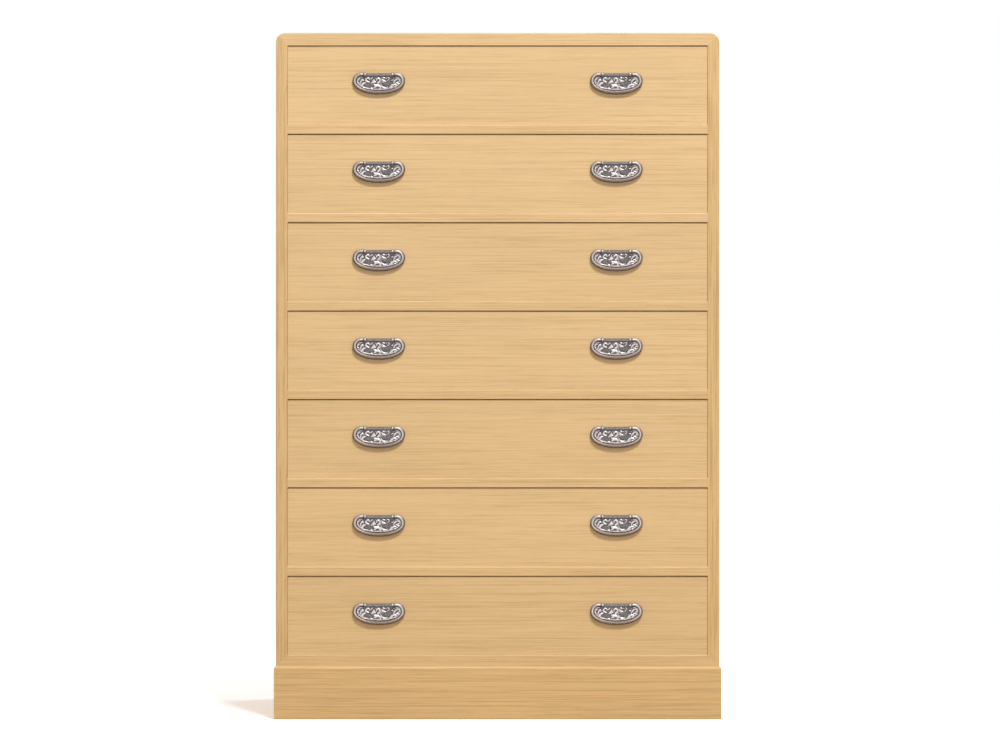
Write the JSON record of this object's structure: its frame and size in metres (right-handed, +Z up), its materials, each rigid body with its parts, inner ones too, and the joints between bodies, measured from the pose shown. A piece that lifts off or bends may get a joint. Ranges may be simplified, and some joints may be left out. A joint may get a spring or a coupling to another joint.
{
  "type": "obi tansu chest",
  "caption": "Tall chest of shallow drawers for folded sashes: pale straight-grained mitred case on a plinth, set-back drawer fronts, and half-moon drop pulls with scroll plates.",
  "frame": {"origin": "middle of the plinth's foot, on the floor", "axes": "+Z up, -Y out of the drawer fronts, +X to the right of someone facing the drawers"},
  "size_m": [0.75, 0.4456, 1.15],
  "materials": {
    "case_wood": "satin",
    "plinth_wood": "satin",
    "drawer_front_wood": "satin",
    "drawer_box_wood": "matte",
    "back_panel_wood": "matte",
    "pull_plate_metal": "satin",
    "bail_metal": "satin"
  },
  "bodies": {
    "case": {"left_side": "case_wood", "right_side": "case_wood", "top_board": "case_wood", "bottom_board": "case_wood", "shelf_1": "case_wood", "shelf_2": "case_wood", "shelf_3": "case_wood", "shelf_4": "case_wood", "shelf_5": "case_wood", "shelf_6": "case_wood", "back_panel": "back_panel_wood", "plinth_front": "plinth_wood", "plinth_back": "plinth_wood", "plinth_left": "plinth_wood", "plinth_right": "plinth_wood"},
    "drawer_1": {"drawer_1_front": "drawer_front_wood", "drawer_1_tray": "drawer_box_wood", "pull_1_left_plate": "pull_plate_metal", "pull_1_right_plate": "pull_plate_metal"},
    "bail_1_left": {"pull_1_left_bail": "bail_metal"},
    "bail_1_right": {"pull_1_right_bail": "bail_metal"},
    "drawer_2": {"drawer_2_front": "drawer_front_wood", "drawer_2_tray": "drawer_box_wood", "pull_2_left_plate": "pull_plate_metal", "pull_2_right_plate": "pull_plate_metal"},
    "bail_2_left": {"pull_2_left_bail": "bail_metal"},
    "bail_2_right": {"pull_2_right_bail": "bail_metal"},
    "drawer_3": {"drawer_3_front": "drawer_front_wood", "drawer_3_tray": "drawer_box_wood", "pull_3_left_plate": "pull_plate_metal", "pull_3_right_plate": "pull_plate_metal"},
    "bail_3_left": {"pull_3_left_bail": "bail_metal"},
    "bail_3_right": {"pull_3_right_bail": "bail_metal"},
    "drawer_4": {"drawer_4_front": "drawer_front_wood", "drawer_4_tray": "drawer_box_wood", "pull_4_left_plate": "pull_plate_metal", "pull_4_right_plate": "pull_plate_metal"},
    "bail_4_left": {"pull_4_left_bail": "bail_metal"},
    "bail_4_right": {"pull_4_right_bail": "bail_metal"},
    "drawer_5": {"drawer_5_front": "drawer_front_wood", "drawer_5_tray": "drawer_box_wood", "pull_5_left_plate": "pull_plate_metal", "pull_5_right_plate": "pull_plate_metal"},
    "bail_5_left": {"pull_5_left_bail": "bail_metal"},
    "bail_5_right": {"pull_5_right_bail": "bail_metal"},
    "drawer_6": {"drawer_6_front": "drawer_front_wood", "drawer_6_tray": "drawer_box_wood", "pull_6_left_plate": "pull_plate_metal", "pull_6_right_plate": "pull_plate_metal"},
    "bail_6_left": {"pull_6_left_bail": "bail_metal"},
    "bail_6_right": {"pull_6_right_bail": "bail_metal"},
    "drawer_7": {"drawer_7_front": "drawer_front_wood", "drawer_7_tray": "drawer_box_wood", "pull_7_left_plate": "pull_plate_metal", "pull_7_right_plate": "pull_plate_metal"},
    "bail_7_left": {"pull_7_left_bail": "bail_metal"},
    "bail_7_right": {"pull_7_right_bail": "bail_metal"}
  },
  "joints": [
    {"name": "drawer_1_slide", "type": "slide", "parent": "case", "child": "drawer_1", "axis": [0, -1, 0], "range_m": [0, 0.34]},
    {"name": "bail_1_left_swing", "type": "hinge", "parent": "drawer_1", "child": "bail_1_left", "pos_m": [-0.199, -0.22055, 1.08035], "axis": [-1, 0, 0], "range_deg": [0, 170]},
    {"name": "bail_1_right_swing", "type": "hinge", "parent": "drawer_1", "child": "bail_1_right", "pos_m": [0.199, -0.22055, 1.08035], "axis": [-1, 0, 0], "range_deg": [0, 170]},
    {"name": "drawer_2_slide", "type": "slide", "parent": "case", "child": "drawer_2", "axis": [0, -1, 0], "range_m": [0, 0.34]},
    {"name": "bail_2_left_swing", "type": "hinge", "parent": "drawer_2", "child": "bail_2_left", "pos_m": [-0.199, -0.22055, 0.93225], "axis": [-1, 0, 0], "range_deg": [0, 170]},
    {"name": "bail_2_right_swing", "type": "hinge", "parent": "drawer_2", "child": "bail_2_right", "pos_m": [0.199, -0.22055, 0.93225], "axis": [-1, 0, 0], "range_deg": [0, 170]},
    {"name": "drawer_3_slide", "type": "slide", "parent": "case", "child": "drawer_3", "axis": [0, -1, 0], "range_m": [0, 0.34]},
    {"name": "bail_3_left_swing", "type": "hinge", "parent": "drawer_3", "child": "bail_3_left", "pos_m": [-0.199, -0.22055, 0.78415], "axis": [-1, 0, 0], "range_deg": [0, 170]},
    {"name": "bail_3_right_swing", "type": "hinge", "parent": "drawer_3", "child": "bail_3_right", "pos_m": [0.199, -0.22055, 0.78415], "axis": [-1, 0, 0], "range_deg": [0, 170]},
    {"name": "drawer_4_slide", "type": "slide", "parent": "case", "child": "drawer_4", "axis": [0, -1, 0], "range_m": [0, 0.34]},
    {"name": "bail_4_left_swing", "type": "hinge", "parent": "drawer_4", "child": "bail_4_left", "pos_m": [-0.199, -0.22055, 0.63605], "axis": [-1, 0, 0], "range_deg": [0, 170]},
    {"name": "bail_4_right_swing", "type": "hinge", "parent": "drawer_4", "child": "bail_4_right", "pos_m": [0.199, -0.22055, 0.63605], "axis": [-1, 0, 0], "range_deg": [0, 170]},
    {"name": "drawer_5_slide", "type": "slide", "parent": "case", "child": "drawer_5", "axis": [0, -1, 0], "range_m": [0, 0.34]},
    {"name": "bail_5_left_swing", "type": "hinge", "parent": "drawer_5", "child": "bail_5_left", "pos_m": [-0.199, -0.22055, 0.48795], "axis": [-1, 0, 0], "range_deg": [0, 170]},
    {"name": "bail_5_right_swing", "type": "hinge", "parent": "drawer_5", "child": "bail_5_right", "pos_m": [0.199, -0.22055, 0.48795], "axis": [-1, 0, 0], "range_deg": [0, 170]},
    {"name": "drawer_6_slide", "type": "slide", "parent": "case", "child": "drawer_6", "axis": [0, -1, 0], "range_m": [0, 0.34]},
    {"name": "bail_6_left_swing", "type": "hinge", "parent": "drawer_6", "child": "bail_6_left", "pos_m": [-0.199, -0.22055, 0.33985], "axis": [-1, 0, 0], "range_deg": [0, 170]},
    {"name": "bail_6_right_swing", "type": "hinge", "parent": "drawer_6", "child": "bail_6_right", "pos_m": [0.199, -0.22055, 0.33985], "axis": [-1, 0, 0], "range_deg": [0, 170]},
    {"name": "drawer_7_slide", "type": "slide", "parent": "case", "child": "drawer_7", "axis": [0, -1, 0], "range_m": [0, 0.34]},
    {"name": "bail_7_left_swing", "type": "hinge", "parent": "drawer_7", "child": "bail_7_left", "pos_m": [-0.199, -0.22055, 0.19175], "axis": [-1, 0, 0], "range_deg": [0, 170]},
    {"name": "bail_7_right_swing", "type": "hinge", "parent": "drawer_7", "child": "bail_7_right", "pos_m": [0.199, -0.22055, 0.19175], "axis": [-1, 0, 0], "range_deg": [0, 170]}
  ]
}
